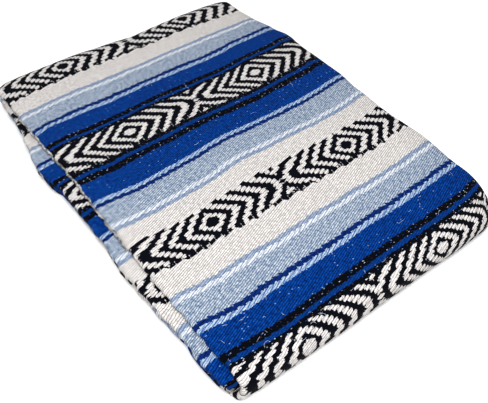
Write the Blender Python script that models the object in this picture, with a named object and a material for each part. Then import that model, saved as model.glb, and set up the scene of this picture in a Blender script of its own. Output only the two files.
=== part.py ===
"""Folded falsa blanket: one thick woven cloth in eight layers.

Both short ends are folded in to the middle, the cloth is closed over them, and
the four layers are then bent in half over a thick front roll. Z is up, X runs
along the stripes and Y from the front roll to the back edges. The origin is at
the bottom centre of the bounding box. Sizes are in metres.
"""

import math
from collections import namedtuple

import bmesh
import bpy

HEIGHT = 0.043
CLOTH_THICKNESS = 0.0042
LAYERS = 8
PITCH = (HEIGHT - CLOTH_THICKNESS) / (LAYERS - 1)

# Levels count layers outwards from the bundle's middle plane, as layer centres.
LEVEL_INNER = 0.5
LEVEL_TUCK_INNER = 1.5
LEVEL_TUCK_OUTER = 2.5
LEVEL_OUTER = 3.5

# Half the height of a side nose that joins two neighbouring layers, and of the big one on the right.
SMALL_NOSE = 0.5 * PITCH
BIG_NOSE = 1.5 * PITCH
HALF_CLOTH = CLOTH_THICKNESS / 2

Point = namedtuple("Point", "at offset")

# The four edges in plan. "at" runs along the edge and "offset" is where the edge is.
LEFT_TOP_EDGE = [
    Point(-0.330, -0.2190), Point(-0.250, -0.2215), Point(-0.140, -0.2225), Point(-0.040, -0.2205),
    Point(0.060, -0.2180), Point(0.150, -0.2205), Point(0.240, -0.2210), Point(0.330, -0.2230),
]
LEFT_LOW_EDGE = [
    Point(-0.330, -0.2305), Point(-0.262, -0.2375), Point(-0.232, -0.2350), Point(-0.184, -0.2385),
    Point(-0.100, -0.2415), Point(-0.060, -0.2380), Point(0.060, -0.2380), Point(0.098, -0.2450),
    Point(0.126, -0.2450), Point(0.165, -0.2375), Point(0.210, -0.2300), Point(0.240, -0.2262),
    Point(0.330, -0.2235),
]
RIGHT_EDGE = [
    Point(-0.330, 0.2130), Point(-0.237, 0.2140), Point(-0.160, 0.2235), Point(-0.100, 0.2225),
    Point(-0.030, 0.2280), Point(0.020, 0.2345), Point(0.100, 0.2365), Point(0.150, 0.2425),
    Point(0.180, 0.2365), Point(0.235, 0.2275), Point(0.265, 0.2245), Point(0.330, 0.2275),
]
FRONT_EDGE = [
    Point(-0.240, -0.3140), Point(-0.180, -0.3185), Point(-0.140, -0.3205), Point(-0.060, -0.3235),
    Point(0.040, -0.3260), Point(0.120, -0.3290), Point(0.240, -0.3290),
]
BACK_EDGE = [
    Point(-0.240, 0.3260), Point(-0.150, 0.3300), Point(-0.080, 0.3315), Point(-0.030, 0.3250),
    Point(0.025, 0.3195), Point(0.070, 0.3210), Point(0.130, 0.3240), Point(0.240, 0.3210),
]

# How far each layer's selvedge stops short of the back edge, by level.
Selvedge = namedtuple("Selvedge", "level top bottom")
SELVEDGES = [
    Selvedge(LEVEL_INNER, 0.0050, 0.0020),
    Selvedge(LEVEL_TUCK_INNER, 0.0015, 0.0060),
    Selvedge(LEVEL_TUCK_OUTER, 0.0045, 0.0010),
    Selvedge(LEVEL_OUTER, 0.0, 0.0040),
]

# How much further in the side noses below the middle plane stay than the second one.
LOWER_NOSE_INSET = 0.0010
BOTTOM_NOSE_INSET = 0.0045

# The side noses' share of the height at the left edge: the two in the middle are fuller.
Nose = namedtuple("Nose", "even fuller")
NOSE_HEIGHTS = [Nose(0.0, 0.0), Nose(0.25, 0.225), Nose(0.5, 0.51), Nose(0.75, 0.79), Nose(1.0, 1.0)]
FULLER_REACH = 0.055

# The top sinks towards the edges.
Sink = namedtuple("Sink", "reach depth")
BACK_SINK = Sink(0.030, 0.0125)
LEFT_SINK = Sink(0.030, 0.0020)
RIGHT_SINK = Sink(0.055, 0.0045)
FRONT_RIGHT_SINK = Sink(0.095, 0.0165)

# The bundle's corners are rounded in plan: sign of x, sign of y, radius.
Corner = namedtuple("Corner", "x y radius")
CORNERS = [
    Corner(1, -1, 0.070),
    Corner(-1, -1, 0.012),
    Corner(-1, 1, 0.028),
    Corner(1, 1, 0.022),
]
HALF_WIDTH = 0.228
HALF_LENGTH = 0.322

# Low swells of the top, as waves along and across the stripes.
Wave = namedtuple("Wave", "along across phase height")
WAVES = [
    Wave(0.210, 0.330, 0.4, 0.00045),
    Wave(-0.150, 0.190, 2.1, 0.00035),
    Wave(0.095, 0.400, 4.0, 0.00020),
]

# Steps of the mesh along the folded path and from back to front and round to the back again.
TUCK_STEPS = 5
INNER_STEPS = 6
OUTER_STEPS = 8
SMALL_NOSE_STEPS = 6
BIG_NOSE_STEPS = 8
BACK_STEPS = [0.0, 0.006, 0.012, 0.019, 0.028, 0.042]
TOP_STEPS = 22
ROLL_STEPS = 10
BOTTOM_STEPS = 12


def along_table(table, at):
    """The table's offset at a place, joined smoothly between its rows."""
    if at <= table[0].at:
        return table[0].offset
    for a, b in zip(table, table[1:]):
        if at <= b.at:
            t = (at - a.at) / (b.at - a.at)
            t = t * t * (3 - 2 * t)
            return a.offset + (b.offset - a.offset) * t
    return table[-1].offset


def selvedge_inset(level, top):
    """How far a layer at this level stops short of the back edge."""
    level = min(max(level, LEVEL_INNER), LEVEL_OUTER)
    for a, b in zip(SELVEDGES, SELVEDGES[1:]):
        if level <= b.level:
            t = (level - a.level) / (b.level - a.level)
            if top:
                return a.top + (b.top - a.top) * t
            return a.bottom + (b.bottom - a.bottom) * t
    return SELVEDGES[-1].top if top else SELVEDGES[-1].bottom


# A station of the folded path: its edge on the left ("top" or "low"), the share of the way to the
# right nose, the level of its centre of turning, the turn's radius, and the turn's angle.
Station = namedtuple("Station", "edge share level radius angle side")


def straight(edge, level, start, end, steps, facing):
    """Stations of a flat layer, without its first one."""
    out = []
    for i in range(1, steps + 1):
        share = start + (end - start) * i / steps
        out.append(Station(edge, share, level, 0.0, facing, "flat"))
    return out


def turn(edge, share, level, radius, start, end, steps, side):
    """Stations round a nose, without its first one. Angle 90 is up, 0 is to the right."""
    out = []
    for i in range(1, steps + 1):
        angle = start + (end - start) * i / steps
        out.append(Station(edge, share, level, radius, angle, side))
    return out


def folded_path():
    """The cloth's section, from one tucked end to the other."""
    end = 0.985
    path = [Station("low", end, LEVEL_TUCK_INNER, 0.0, 90, "flat")]
    path += straight("low", LEVEL_TUCK_INNER, end, 0.0, TUCK_STEPS, 90)
    path += turn("low", 0.0, 1.0, SMALL_NOSE, 90, 270, SMALL_NOSE_STEPS, "left")
    path += straight("low", LEVEL_INNER, 0.0, 1.0, INNER_STEPS, 270)
    path += turn("low", 1.0, 2.0, BIG_NOSE, 270, 450, BIG_NOSE_STEPS, "right")
    path += straight("top", LEVEL_OUTER, 1.0, 0.0, OUTER_STEPS, 90)
    path += turn("top", 0.0, 3.0, SMALL_NOSE, 90, 270, SMALL_NOSE_STEPS, "left")
    path += straight("top", LEVEL_TUCK_OUTER, 0.0, end, TUCK_STEPS, 270)
    return path


# A row of the bundle: where it is from back to front, on the top half, the roll or the bottom half.
Row = namedtuple("Row", "part from_back share angle")


def rows():
    out = [Row("top", back, 0.0, 0) for back in BACK_STEPS]
    out += [Row("top", None, (i + 1) / TOP_STEPS, 0) for i in range(TOP_STEPS)]
    out += [Row("roll", None, 1.0, 180 * (i + 1) / ROLL_STEPS) for i in range(ROLL_STEPS)]
    out += [Row("bottom", None, 1 - (i + 1) / BOTTOM_STEPS, 180) for i in range(BOTTOM_STEPS)]
    out += [Row("bottom", back, 0.0, 180) for back in reversed(BACK_STEPS[:-1])]
    return out


def left_edge(edge, y, below):
    """Where a side nose's outside is, at one place along the side; below runs from 0 to 1."""
    low = along_table(LEFT_LOW_EDGE, y)
    if edge == "top":
        high = along_table(LEFT_TOP_EDGE, y)
        return high + (low + BOTTOM_NOSE_INSET - high) * below
    return low + LOWER_NOSE_INSET * below


def row_reference(row):
    """The y of a row, before the layers' own insets, and how far below the middle plane it is."""
    front = -HALF_LENGTH + HEIGHT / 2
    if row.part == "roll":
        below = (1 - math.cos(math.radians(row.angle))) / 2
        return front - HEIGHT / 2 * math.sin(math.radians(row.angle)), below
    back = HALF_LENGTH - BACK_STEPS[-1]
    y = HALF_LENGTH - row.from_back if row.from_back is not None else back + (front - back) * row.share
    return y, 0.0 if row.part == "top" else 1.0


def section_point(station, row, half):
    """A point of the section: its x, and its level, with half the cloth added outwards."""
    y, below = row_reference(row)
    left = left_edge(station.edge, y, below) + SMALL_NOSE + HALF_CLOTH
    right = along_table(RIGHT_EDGE, y) - BIG_NOSE - HALF_CLOTH
    x = left + (right - left) * station.share
    angle = math.radians(station.angle)
    reach = station.radius + half
    return x + reach * math.cos(angle), station.level + reach * math.sin(angle) / PITCH


def bent_point(x, level, row):
    """The section's point on its row, bent over the front roll."""
    front = along_table(FRONT_EDGE, x) + HEIGHT / 2
    if row.part == "roll":
        angle = math.radians(row.angle)
        return (x, front - level * PITCH * math.sin(angle), HEIGHT / 2 + level * PITCH * math.cos(angle))
    end = along_table(BACK_EDGE, x) - selvedge_inset(level, row.part == "top")
    back = end - BACK_STEPS[-1]
    y = end - row.from_back if row.from_back is not None else back + (front - back) * row.share
    sign = 1 if row.part == "top" else -1
    return (x, y, HEIGHT / 2 + sign * level * PITCH)


def nose_height(share):
    """The fuller noses' share of the height."""
    for a, b in zip(NOSE_HEIGHTS, NOSE_HEIGHTS[1:]):
        if share <= b.even:
            return a.fuller + (b.fuller - a.fuller) * (share - a.even) / (b.even - a.even)
    return share


def sink(distance, limits):
    """How far the top sinks at a distance from an edge."""
    left = max(0.0, 1 - max(distance, 0.0) / limits.reach)
    return limits.depth * left * left


def settled(x, y, z):
    """Lets the top sink towards its edges and swell a little; the bottom stays flat."""
    from_left = x - along_table(LEFT_TOP_EDGE, y)
    fuller = max(0.0, min(1.0, 1 - from_left / FULLER_REACH))
    fuller = fuller * fuller * (3 - 2 * fuller)
    share = z / HEIGHT
    z = HEIGHT * (share + (nose_height(share) - share) * fuller)
    drop = sink(along_table(BACK_EDGE, x) - y, BACK_SINK)
    drop += sink(from_left, LEFT_SINK)
    from_right = along_table(RIGHT_EDGE, y) - x
    drop += sink(from_right, RIGHT_SINK)
    from_front = y - along_table(FRONT_EDGE, x)
    drop += sink(math.hypot(max(from_right, 0.0), max(from_front, 0.0)), FRONT_RIGHT_SINK)
    swell = sum(
        w.height * math.sin(2 * math.pi * (x / w.along + y / w.across) + w.phase) for w in WAVES
    )
    return x, y, z * (1 - (drop - swell + 0.001) / HEIGHT)


def rounded(x, y):
    """Rounds the corners in plan, as a square is drawn in to a disc."""
    for corner in CORNERS:
        a = (x * corner.x - (HALF_WIDTH - corner.radius)) / corner.radius
        b = (y * corner.y - (HALF_LENGTH - corner.radius)) / corner.radius
        if a > 0 and b > 0:
            a, b = min(a, 1.2), min(b, 1.2)
            shrunk_a = a * math.sqrt(1 - b * b / 2)
            shrunk_b = b * math.sqrt(1 - a * a / 2)
            x += corner.x * corner.radius * (shrunk_a - a)
            y += corner.y * corner.radius * (shrunk_b - b)
    return x, y


def cloth_point(station, row, half):
    x, level = section_point(station, row, half)
    x, y, z = settled(*bent_point(x, level, row))
    x, y = rounded(x, y)
    return (x, y, z)


def build_mesh(name):
    """The closed cloth: an outer and an inner sheet over the same grid, joined round the rim."""
    path = folded_path()
    places = rows()
    mesh = bmesh.new()
    sheets = []
    for half in (HALF_CLOTH, -HALF_CLOTH):
        sheets.append([[mesh.verts.new(cloth_point(s, r, half)) for r in places] for s in path])
    outer, inner = sheets
    last_u = len(path) - 1
    last_v = len(places) - 1
    for i in range(last_u):
        for j in range(last_v):
            mesh.faces.new((outer[i][j], outer[i][j + 1], outer[i + 1][j + 1], outer[i + 1][j]))
            mesh.faces.new((inner[i][j], inner[i + 1][j], inner[i + 1][j + 1], inner[i][j + 1]))
    for i in range(last_u):
        mesh.faces.new((outer[i][0], outer[i + 1][0], inner[i + 1][0], inner[i][0]))
        mesh.faces.new((outer[i][last_v], inner[i][last_v], inner[i + 1][last_v], outer[i + 1][last_v]))
    for j in range(last_v):
        mesh.faces.new((outer[0][j], inner[0][j], inner[0][j + 1], outer[0][j + 1]))
        mesh.faces.new((outer[last_u][j], outer[last_u][j + 1], inner[last_u][j + 1], inner[last_u][j]))
    bmesh.ops.recalc_face_normals(mesh, faces=mesh.faces)
    if mesh.calc_volume(signed=True) < 0:
        bmesh.ops.reverse_faces(mesh, faces=mesh.faces)
    low = [min(v.co[k] for v in mesh.verts) for k in range(3)]
    high = [max(v.co[k] for v in mesh.verts) for k in range(3)]
    shift = ((low[0] + high[0]) / 2, (low[1] + high[1]) / 2, low[2])
    for v in mesh.verts:
        v.co.x -= shift[0]
        v.co.y -= shift[1]
        v.co.z -= shift[2]
    data = bpy.data.meshes.new(name)
    mesh.to_mesh(data)
    mesh.free()
    return data


def cloth_material():
    material = bpy.data.materials.new("woven_cloth")
    material.use_nodes = True
    surface = material.node_tree.nodes["Principled BSDF"]
    surface.inputs["Base Color"].default_value = (0.06, 0.14, 0.42, 1.0)
    surface.inputs["Roughness"].default_value = 0.9
    return material


def main():
    for old in list(bpy.context.scene.objects):
        bpy.data.objects.remove(old, do_unlink=True)
    blanket = bpy.data.objects.new("blanket", build_mesh("blanket"))
    blanket.data.materials.append(cloth_material())
    bpy.context.scene.collection.objects.link(blanket)


main()
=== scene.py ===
"""Looks of the folded falsa blanket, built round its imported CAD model.

The cloth is one sheet on the solid's folds, finer than the solid, with the stripes and the rows of
concentric diamonds worked out from named widths. Sizes are in metres, and the weave's in millimetres.
"""

import math
import random
from collections import namedtuple
from types import SimpleNamespace

import bmesh
import bpy
from bpy.props import FloatProperty, FloatVectorProperty, IntProperty, PointerProperty
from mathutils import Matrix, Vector


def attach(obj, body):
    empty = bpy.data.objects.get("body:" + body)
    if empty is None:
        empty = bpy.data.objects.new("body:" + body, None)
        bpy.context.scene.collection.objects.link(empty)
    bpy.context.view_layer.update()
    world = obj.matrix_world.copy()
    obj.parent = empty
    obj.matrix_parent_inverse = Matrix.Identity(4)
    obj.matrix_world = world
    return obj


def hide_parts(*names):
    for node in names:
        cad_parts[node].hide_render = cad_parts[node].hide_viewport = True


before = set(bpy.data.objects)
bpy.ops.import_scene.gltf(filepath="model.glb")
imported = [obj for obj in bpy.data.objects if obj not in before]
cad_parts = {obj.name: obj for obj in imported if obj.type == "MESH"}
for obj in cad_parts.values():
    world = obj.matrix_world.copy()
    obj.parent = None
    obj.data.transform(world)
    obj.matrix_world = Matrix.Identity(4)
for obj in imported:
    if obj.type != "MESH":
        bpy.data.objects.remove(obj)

bl_info = {
    "name": "Folded falsa blanket",
    "version": (1, 0, 0),
    "blender": (4, 5, 0),
    "location": "View3D > Sidebar > Blanket",
    "description": "Dresses the folded woven blanket and sets up its studio",
    "category": "Object",
}

MM = 0.001

# The bundle's driving sizes, as in the solid.
HEIGHT = 0.043
CLOTH_THICKNESS = 0.0042
LAYERS = 8
PITCH = (HEIGHT - CLOTH_THICKNESS) / (LAYERS - 1)
LEVEL_INNER = 0.5
LEVEL_TUCK_INNER = 1.5
LEVEL_TUCK_OUTER = 2.5
LEVEL_OUTER = 3.5
SMALL_NOSE = 0.5 * PITCH
BIG_NOSE = 1.5 * PITCH
HALF_CLOTH = CLOTH_THICKNESS / 2
HALF_WIDTH = 0.228
HALF_LENGTH = 0.322
TUCK_END = 0.985

# From the folded form's own middle to the middle of its box.
FORM_SHIFT = (-0.0012631, 0.0009654, 0.0)

Point = namedtuple("Point", "at offset")


def edge_points(*pairs):
    """Points in metres, from pairs in millimetres."""
    return [Point(at * MM, offset * MM) for at, offset in pairs]


# The four edges in plan. "at" runs along the edge and "offset" is where the edge is.
LEFT_TOP_EDGE = edge_points(
    (-330, -219), (-250, -221.5), (-140, -222.5), (-40, -220.5), (60, -218), (150, -220.5), (240, -221),
    (330, -223),
)
LEFT_LOW_EDGE = edge_points(
    (-330, -230.5), (-262, -237.5), (-232, -235), (-184, -238.5), (-100, -241.5), (-60, -238),
    (60, -238), (98, -245), (126, -245), (165, -237.5), (210, -230), (240, -226.2), (330, -223.5),
)
RIGHT_EDGE = edge_points(
    (-330, 213), (-237, 214), (-160, 223.5), (-100, 222.5), (-30, 228), (20, 234.5), (100, 236.5),
    (150, 242.5), (180, 236.5), (235, 227.5), (265, 224.5), (330, 227.5),
)
FRONT_EDGE = edge_points(
    (-240, -314), (-180, -318.5), (-140, -320.5), (-60, -323.5), (40, -326), (120, -329), (240, -329),
)
BACK_EDGE = edge_points(
    (-240, 326), (-150, 330), (-80, 331.5), (-30, 325), (25, 319.5), (70, 321), (130, 324), (240, 321),
)

# How far each layer's selvedge stops short of the back edge, by level.
Selvedge = namedtuple("Selvedge", "level top bottom")
SELVEDGES = [
    Selvedge(LEVEL_INNER, 0.0050, 0.0020),
    Selvedge(LEVEL_TUCK_INNER, 0.0015, 0.0060),
    Selvedge(LEVEL_TUCK_OUTER, 0.0045, 0.0010),
    Selvedge(LEVEL_OUTER, 0.0, 0.0040),
]
LOWER_NOSE_INSET = 0.0010
BOTTOM_NOSE_INSET = 0.0045

# The side noses' share of the height at the left edge: the two in the middle are fuller, and above the
# cloth nothing changes.
Nose = namedtuple("Nose", "even fuller")
NOSE_HEIGHTS = [
    Nose(0.0, 0.0), Nose(0.25, 0.225), Nose(0.5, 0.51), Nose(0.75, 0.79), Nose(1.0, 1.0), Nose(2.0, 2.0),
]
FULLER_REACH = 0.055

# The top sinks towards the edges.
Sink = namedtuple("Sink", "reach depth")
BACK_SINK = Sink(0.030, 0.0125)
LEFT_SINK = Sink(0.030, 0.0020)
RIGHT_SINK = Sink(0.055, 0.0045)
FRONT_RIGHT_SINK = Sink(0.095, 0.0165)

# The bundle's corners are rounded in plan: sign of x, sign of y, radius. The cloth's bulges past the
# corner count up to the limit, as a share of the radius.
Corner = namedtuple("Corner", "x y radius")
CORNER_LIMIT = 1.2
CORNERS = [
    Corner(1, -1, 0.070),
    Corner(-1, -1, 0.012),
    Corner(-1, 1, 0.028),
    Corner(1, 1, 0.022),
]

# Low swells of the top, as waves along and across the stripes.
Wave = namedtuple("Wave", "along across phase height")
WAVES = [
    Wave(0.210, 0.330, 0.4, 0.00045),
    Wave(-0.150, 0.190, 2.1, 0.00035),
    Wave(0.095, 0.400, 4.0, 0.00020),
]

# Soft ridges and troughs of the top: both ends in plan, the reach to each side, and the height.
Crease = namedtuple("Crease", "x0 y0 x1 y1 reach height")
CREASES = [
    Crease(-0.050, -0.110, 0.000, 0.050, 0.040, 0.0013),
    Crease(0.148, -0.190, 0.178, 0.050, 0.024, -0.0011),
    Crease(0.120, 0.110, 0.165, 0.250, 0.026, 0.0010),
    Crease(-0.195, -0.250, -0.160, -0.050, 0.022, -0.0009),
    Crease(-0.140, 0.110, -0.195, 0.215, 0.026, -0.0010),
    Crease(0.010, -0.262, 0.120, -0.200, 0.024, 0.0009),
    Crease(-0.120, 0.235, 0.010, 0.262, 0.022, 0.0008),
    Crease(-0.110, -0.285, -0.020, -0.235, 0.020, -0.0008),
]

# The top lies this much lower, to leave room for the swells.
TOP_ROOM = 0.001

# Small bumps of the left noses, where the ribs turn over the fold: they reach this far from the edge,
# and their phase turns this much from the floor to the top.
EdgeWave = namedtuple("EdgeWave", "length phase height")
EDGE_WAVES = [EdgeWave(0.0135, 0.3, 0.0004), EdgeWave(0.0215, 1.9, 0.0005), EdgeWave(0.0370, 4.2, 0.0006)]
EDGE_REACH = 0.016
EDGE_TURN = 5.0

# Steps of the mesh: fine where the cloth shows, coarse inside.
TUCK_STEPS = 7
INNER_STEPS = 10
OUTER_STEPS = 118
SMALL_NOSE_STEPS = 8
BIG_NOSE_STEPS = 12
BACK_STEPS = [0.0, 0.003, 0.006, 0.009, 0.012, 0.0155, 0.019, 0.0235, 0.028, 0.035, 0.042]
TOP_STEPS = 146
ROLL_STEPS = 22
BOTTOM_STEPS = 44

# Where the pattern's lines lie across the cloth: a line's place in the even pattern and on the real
# cloth, both in millimetres. They rise from the underside, round the front roll, to the back.
Line = namedtuple("Line", "even real")
LINES = [
    Line(-1200, -1302), Line(-236, -336), Line(-206, -314.5), Line(-176, -297), Line(-169.5, -291.5),
    Line(-154, -277), Line(-121.5, -245.5), Line(-108, -231), Line(-76, -199), Line(-63, -186),
    Line(-30, -150), Line(0, -119.5), Line(30, -90), Line(63, -63), Line(76, -50), Line(108, -16),
    Line(121.5, -3), Line(154, 34), Line(176, 60), Line(206, 91), Line(236, 118), Line(258, 137),
    Line(290.5, 167), Line(304, 182), Line(336, 213), Line(349, 226), Line(382, 260), Line(412, 296.5),
    Line(500, 385),
]

# How far the lines wander from there, in millimetres, at these places along the cloth.
DRIFT_AT = (-215, -195, -160, -130, -100, -70, -40, -10, 20, 50, 80, 110, 140, 170, 195, 210)
Drift = namedtuple("Drift", "real offsets")
DRIFTS = [
    Drift(-318, (6, 2, 0, 0, -1, -2.5, -4, -4.5, -4.5, -4.5, -4.5, -4.5, -4, -2, 0.5, 2)),
    Drift(-282, (6, 3, 0.5, 0, 1.8, 1, 1.2, 1.2, 2.2, 1.8, 0.8, 0.5, 0.5, 2, 3.8, 5)),
    Drift(-238, (8, 3.7, -0.8, 1.6, 1.6, 0.4, 0, 0.3, 1, 1.2, 0.1, 0, 0.2, 1.7, 3.2, 5)),
    Drift(-189, (8, 5, 1, 1.8, 1, -0.5, 0.5, 1, -0.5, 0, -1.5, -2.8, -2.5, -0.5, 0.8, 3)),
    Drift(-120, (6, 3, 0, 0, 0, 0, 1, 1, 0.5, 0, -0.5, -1.5, -1.5, -1, 1, 4)),
    Drift(-60, (4, 0.8, -0.8, -0.8, -1, 0.8, 5.2, 6.2, 4.5, 2.8, 1.5, -1, 0.2, 0.8, 4, 6.8)),
    Drift(-10, (5.5, 3, -2.6, -2.2, 0.2, 1.6, 4.1, 4.3, 3.2, 1.3, 1, 0.3, 0.2, 2.4, 5.5, 8.6)),
    Drift(40, (5.2, 2.8, -0.5, 2, 2.2, 2.2, 4, 3, 0.2, -0.2, -0.8, 1, 0.8, 2.5, 4, 7)),
    Drift(90, (3, 2, 0, 0.5, 0.5, 0.5, 1.5, 1.5, 0.5, 0, -1, 0, 0.5, 1.5, 3, 6)),
    Drift(175, (0.8, 4.5, 4.2, 2.7, 0.5, 0.5, 1.8, 1.2, 1, 1, -1, -0.5, 1.7, 2.8, 3.7, 6.5)),
    Drift(223, (0, 0.5, 2, 1.5, -1, -0.5, 1.2, 0, 0.2, 1, -1, 0.5, -1, -2.5, -1, 0.5)),
    Drift(260, (-5, -2, 0.5, 1, 1, 1, 1, 1, 0.5, 0, 0.5, 0.5, -0.5, -5, -6, -4)),
    Drift(300, (-5, -2, 0.5, 0, 0, 0, 0, 0, 0, 0, 0, 0, 0, -2, -3, -3)),
]

# The middle between two eyes of each row of diamonds, along the cloth, and the way from eye to eye, by
# the row's even place.
Crossing = namedtuple("Crossing", "even along pitch")
CROSSINGS = [
    Crossing(-206, -27, 215), Crossing(0, -2.5, 231), Crossing(206, 4.7, 231),
    Crossing(412, 2, 232),
]

# How far the lower noses' stripes lie in front of the top's, at the left side, from front to back.
LOWER_SHIFT = edge_points(
    (-300, 26), (-215, 28), (-120, 43), (90, 64), (200, 67), (300, 70),
)

# The edge cord's ends, as shares of the way from back to front, and its place round the top nose in
# degrees: 180 is outermost, each end dives under the nose over a share of the cord, and waves lift it.
CORD_START = 0.06
CORD_END = 0.64
CORD_ANGLE = 184
CORD_DIVE = 45
DIVE_START = 0.05
DIVE_END = 0.06
CordWave = namedtuple("CordWave", "turns phase height")
CORD_WAVES = [CordWave(17, 0, 11), CordWave(47, 1, 9), CordWave(103, 0, 5)]

# A tube's radius at its ends, as a share.
TUBE_END = 0.55

# Where loose fibres lie: x from left to right, the place across from front to back, and how many.
Patch = namedtuple("Patch", "left right front back count")
FIBRE_PATCHES = [
    Patch(-0.150, -0.105, -0.315, -0.296, 9),
    Patch(0.050, 0.110, -0.318, -0.298, 7),
    Patch(-0.215, -0.130, -0.300, -0.240, 10),
    Patch(0.085, 0.125, -0.268, -0.240, 5),
    Patch(-0.215, 0.205, -0.300, 0.250, 55),
]
FIBRE_STEPS = 5

# From the middle of a row of diamonds on white to the middle of the next one, on black.
HALF_REPEAT = 206.0
EYE_PITCH = 231.0

# The studio: a soft light in front on the left, a wide one high at the back, and the camera at the
# photograph's viewing angle, its turns in degrees and its lens in millimetres.
Lamp = namedtuple("Lamp", "name place size")
KEY = Lamp("key_light", (-0.42, -0.62, 1.4), 0.9)
FILL = Lamp("fill_light", (0.5, 1.0, 3.0), 3.0)
CAMERA_PLACE = (-0.38432, -0.52429, 0.6128)
CAMERA_TURN = (42.181, 0.0, -38.174)
CAMERA_LENS = 44.26


def linear(value):
    """An sRGB hex colour as linear RGBA."""
    out = []
    for i in (0, 2, 4):
        c = int(value[i:i + 2], 16) / 255
        out.append(c / 12.92 if c <= 0.04045 else ((c + 0.055) / 1.055) ** 2.4)
    return (*out, 1.0)


# A stripe, from the middle of the diamonds on white outwards: its width in millimetres, its yarn, the
# second yarn mixed in, the painted shade colour for the hollows between the yarns, and three shares: ribs,
# flecks and twist.
Stripe = namedtuple("Stripe", "name width yarn second gap ribs flecks twist")
STRIPES = [
    Stripe("diamonds on white", 30.5, "CDCAC8", "A9A5A3", "575251", 0.7, 0.0, 0.0),
    Stripe("white", 32.5, "D1CECB", "9F9B98", "696463", 0.95, 0.0, 0.0),
    Stripe("grey line", 6.5, "909AA8", "62728A", "425270", 0.9, 0.0, 0.8),
    Stripe("pale line", 6.5, "D2D1CF", "A8AFB6", "667389", 0.9, 0.0, 0.95),
    Stripe("light blue", 32.0, "B0B7BE", "4F647D", "20375A", 1.0, 0.0, 0.0),
    Stripe("navy cord", 6.5, "062661", "04174B", "02092C", 0.5, 0.0, 1.0),
    Stripe("pale cord", 6.7, "A9B6BF", "66829F", "0E3470", 0.8, 0.0, 1.0),
    Stripe("royal", 32.8, "00194F", "033C8C", "000722", 1.0, 0.35, 0.0),
    Stripe("black line", 9.5, "03050A", "020307", "010102", 0.3, 1.0, 0.0),
    Stripe("thin blue", 6.0, "001E56", "043170", "000C30", 0.7, 0.38, 0.0),
    Stripe("black edge", 6.0, "03050A", "020307", "010102", 0.3, 0.8, 0.0),
    Stripe("diamonds on black", 30.5, "CDCAC8", "A9A5A3", "575251", 0.7, 0.0, 0.0),
]
DARK_YARN = "04050B"

# The lines' rough edges and steps, in millimetres, and how much of a turn the strands of a twisted cord
# lean for each millimetre across it.
LINE_ROUGHNESS = 0.9
STEP_DEPTH = 1.0
CORD_STEP_DEPTH = 2.6
STRAND_SLANT = 0.18

# The diamonds, with lengths in millimetres: the arms' slope and its change from side to side, the bend
# before a crossing, the eye, and the spot at the crossing, whose way along the stripes counts less.
ARM_SLOPE = 1.16
ARM_LEAN = 0.13
BEND_START = 40.0
BEND_END = 15.0
BEND_REACH = 6.0
BEND_OUT = 6.5
RING_ROUGHNESS = 1.5
EYE_WIDTH = 10.0
EYE_HEIGHT = 7.0
SPOT = 3.9
SPOT_RING = 5.6
SPOT_STRETCH = 0.6

# How far the floats taper at the rows' edges, in millimetres: near the eye, further out, and what is
# added on black and in its fine rows. The first two are distances from the eye.
TAPER_START = 8.0
TAPER_END = 26.0
EYE_TAPER = 0.4
FAR_TAPER = 1.7
BLACK_TAPER = -0.4
FINE_TAPER = 0.35

# The bands' edges, in millimetres from the middle of a band: where the arms change, and the band ends.
EDGE_START = 20.5
EDGE_END = 24.0
BLACK_EDGE_SHIFT = 3.5
ARM_THINNING = 1.5
WHITE_BAND_HALF = 28.2
BLACK_BAND_HALF = 30.6
DASH_PITCH = 19.5
DASH_SWING = 13.0
DASH_LOW = -2.5
TICK_PITCH = 9.75
TICK_START = 22.0

# A tick's width as a share of the pitch, where it starts between a row's middle and edge, and how pale
# it is; and the same for the dark line that parts the floats of an arm.
TICK_WIDTH = 0.1
TICK_REACH = 0.35
TICK_PALE = 0.7
PARTING = (0.72, 0.96)
PARTING_DARK = 0.8

# The ribs' yarn dashes: the gap between two and how far they waver, in millimetres, and the share of
# patchy tone in their mix.
DASH_GAP = 0.6
RIB_WAVER = (1.8, 1.4, 0.0)
PATCHY_SHARE = 0.8

# How wide the hollows are beside a rib and a column, as shares of half a pitch, and how dark the painted
# shade is in a column's hollow and in a dash's gap.
RIB_HOLLOW = 0.55
COLUMN_HOLLOW = 0.3
COLUMN_PAINTED_SHADE = 0.3
DASH_GAP_PAINTED_SHADE = 0.45

# The painted shade line between two strands of a cord: it fades between these shares of a turn from its
# middle.
STRAND_LINE = (0.17, 0.05)
STRAND_PAINTED_SHADE = 0.95

# Specks: the mean way from one to the next in millimetres, their radius as a share of it, how much
# stronger they are than their stripe's share of flecks, and colours by their share.
SPECK_ALONG = 7.0
SPECK_ACROSS = 4.0
SPECK_RADIUS = 0.13
SPECK_STRENGTH = 1.8
SPECK_COLOURS = [
    (0.0, "6E7684"), (0.16, "3C2620"), (0.38, "1C1C2A"), (0.60, "22407C"), (0.82, "4C4A44"),
    (0.86, "96999F"), (0.96, "7C9CD4"),
]

# Blue stripes have a smaller share of flecks than this, and in them only flecks whose random tone is
# past the second number show.
BLUE_FLECKS = 0.4
RARE_IN_BLUE = 0.93

# Yarn: patches of tone along each metre of a cord, and how matt it is.
YARN_PATCHES = 180.0
MATT = 0.95


def along_table(table, at):
    """The table's offset at a place, joined smoothly between its rows."""
    if at <= table[0].at:
        return table[0].offset
    for a, b in zip(table, table[1:]):
        if at <= b.at:
            t = (at - a.at) / (b.at - a.at)
            t = t * t * (3 - 2 * t)
            return a.offset + (b.offset - a.offset) * t
    return table[-1].offset


def between(pairs, value):
    """The second number of a pair for a value of the first, on straight lines between the pairs."""
    for a, b in zip(pairs, pairs[1:]):
        if value <= b[0]:
            break
    return a[1] + (value - a[0]) * (b[1] - a[1]) / (b[0] - a[0])


def selvedge_inset(level, top):
    """How far a layer at this level stops short of the back edge."""
    level = min(max(level, LEVEL_INNER), LEVEL_OUTER)
    return between([(s.level, s.top if top else s.bottom) for s in SELVEDGES], level)


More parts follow.
